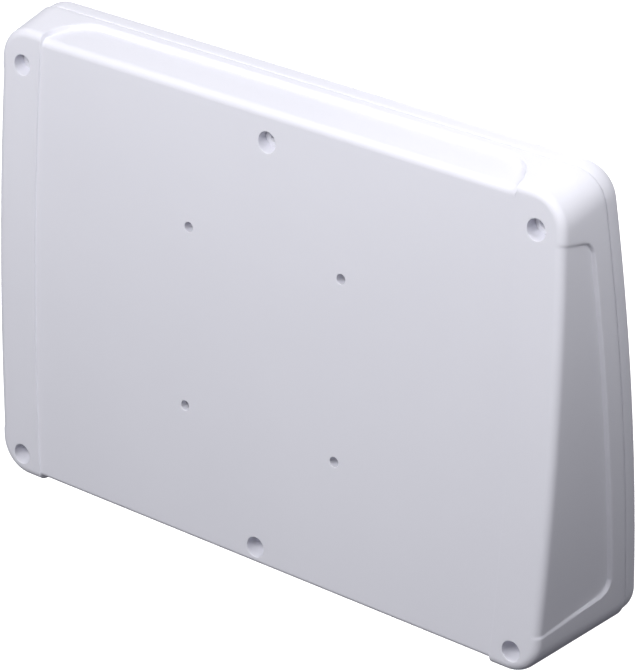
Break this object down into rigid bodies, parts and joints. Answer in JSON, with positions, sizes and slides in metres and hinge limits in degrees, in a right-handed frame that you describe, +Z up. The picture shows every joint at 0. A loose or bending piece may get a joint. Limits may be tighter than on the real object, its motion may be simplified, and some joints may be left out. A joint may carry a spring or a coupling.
{
  "type": "yagi antenna",
  "caption": "Panel-mounted yagi antenna sealed in a sloped two-shell plastic housing, with recessed rear screws, a rear mounting pattern and a socket below.",
  "frame": {"origin": "centre of the four threaded mounting inserts, on the central back panel's outer face", "axes": "+Z up, +Y out of the back panel towards the wall or bracket, -Y the way the antenna looks, X across the housing"},
  "size_m": [0.282, 0.0647, 0.2123],
  "materials": {
    "housing_shell": "fine matt moulded ABS, pale grey-white",
    "housing_cover": "fine matt moulded ABS, pale grey-white",
    "seal_rubber": "black silicone rubber",
    "housing_screw_steel": "plain stainless steel",
    "small_screw_steel": "plain stainless steel",
    "insert_brass": "turned and knurled brass",
    "reflector_aluminium": "brushed sheet",
    "board_laminate": "green solder mask over glass laminate",
    "boom_plastic": "natural acetal",
    "dipole_brass": "drawn brass wire",
    "director_aluminium": "drawn aluminium rod",
    "cable_jacket": "brown fluoropolymer jacket",
    "port_nickel": "nickel-plated brass, satin",
    "vent_plastic": "moulded nylon, pale grey"
  },
  "bodies": {
    "housing": {"boom_1": "boom_plastic", "boom_2": "boom_plastic", "boom_3": "boom_plastic", "boom_4": "boom_plastic", "boom_screw_1": "small_screw_steel", "boom_screw_2": "small_screw_steel", "boom_screw_3": "small_screw_steel", "boom_screw_4": "small_screw_steel", "driven_element_1": "dipole_brass", "driven_element_2": "dipole_brass", "driven_element_3": "dipole_brass", "driven_element_4": "dipole_brass", "feed_board": "board_laminate", "feed_cable": "cable_jacket", "housing_seal": "seal_rubber", "inner_director_1": "director_aluminium", "inner_director_2": "director_aluminium", "inner_director_3": "director_aluminium", "inner_director_4": "director_aluminium", "mount_insert_lower_left": "insert_brass", "mount_insert_lower_right": "insert_brass", "mount_insert_upper_left": "insert_brass", "mount_insert_upper_right": "insert_brass", "outer_director_1": "director_aluminium", "outer_director_2": "director_aluminium", "outer_director_3": "director_aluminium", "outer_director_4": "director_aluminium", "plate_screw_lower_left": "small_screw_steel", "plate_screw_lower_right": "small_screw_steel", "plate_screw_upper_left": "small_screw_steel", "plate_screw_upper_right": "small_screw_steel", "port_nut": "port_nickel", "port_seal": "seal_rubber", "port_socket": "port_nickel", "rear_shell": "housing_shell", "reflector_plate": "reflector_aluminium", "vent_nut": "vent_plastic", "vent_plug": "vent_plastic", "vent_seal": "seal_rubber"},
    "cover": {"front_cover": "housing_cover"},
    "screw_bottom_left": {"housing_screw_bottom_left": "housing_screw_steel"},
    "screw_bottom_middle": {"housing_screw_bottom_middle": "housing_screw_steel"},
    "screw_bottom_right": {"housing_screw_bottom_right": "housing_screw_steel"},
    "screw_top_left": {"housing_screw_top_left": "housing_screw_steel"},
    "screw_top_middle": {"housing_screw_top_middle": "housing_screw_steel"},
    "screw_top_right": {"housing_screw_top_right": "housing_screw_steel"}
  },
  "joints": [
    {"name": "cover_lift_off", "type": "slide", "parent": "housing", "child": "cover", "axis": [0, -0.9842, 0.1772], "range_m": [0, 0.08]},
    {"name": "screw_bottom_left_back_out", "type": "slide", "parent": "housing", "child": "screw_bottom_left", "axis": [0, 0.9842, -0.1772], "range_m": [0, 0.06]},
    {"name": "screw_bottom_middle_back_out", "type": "slide", "parent": "housing", "child": "screw_bottom_middle", "axis": [0, 0.9842, -0.1772], "range_m": [0, 0.06]},
    {"name": "screw_bottom_right_back_out", "type": "slide", "parent": "housing", "child": "screw_bottom_right", "axis": [0, 0.9842, -0.1772], "range_m": [0, 0.06]},
    {"name": "screw_top_left_back_out", "type": "slide", "parent": "housing", "child": "screw_top_left", "axis": [0, 0.9842, -0.1772], "range_m": [0, 0.06]},
    {"name": "screw_top_middle_back_out", "type": "slide", "parent": "housing", "child": "screw_top_middle", "axis": [0, 0.9842, -0.1772], "range_m": [0, 0.06]},
    {"name": "screw_top_right_back_out", "type": "slide", "parent": "housing", "child": "screw_top_right", "axis": [0, 0.9842, -0.1772], "range_m": [0, 0.06]}
  ]
}
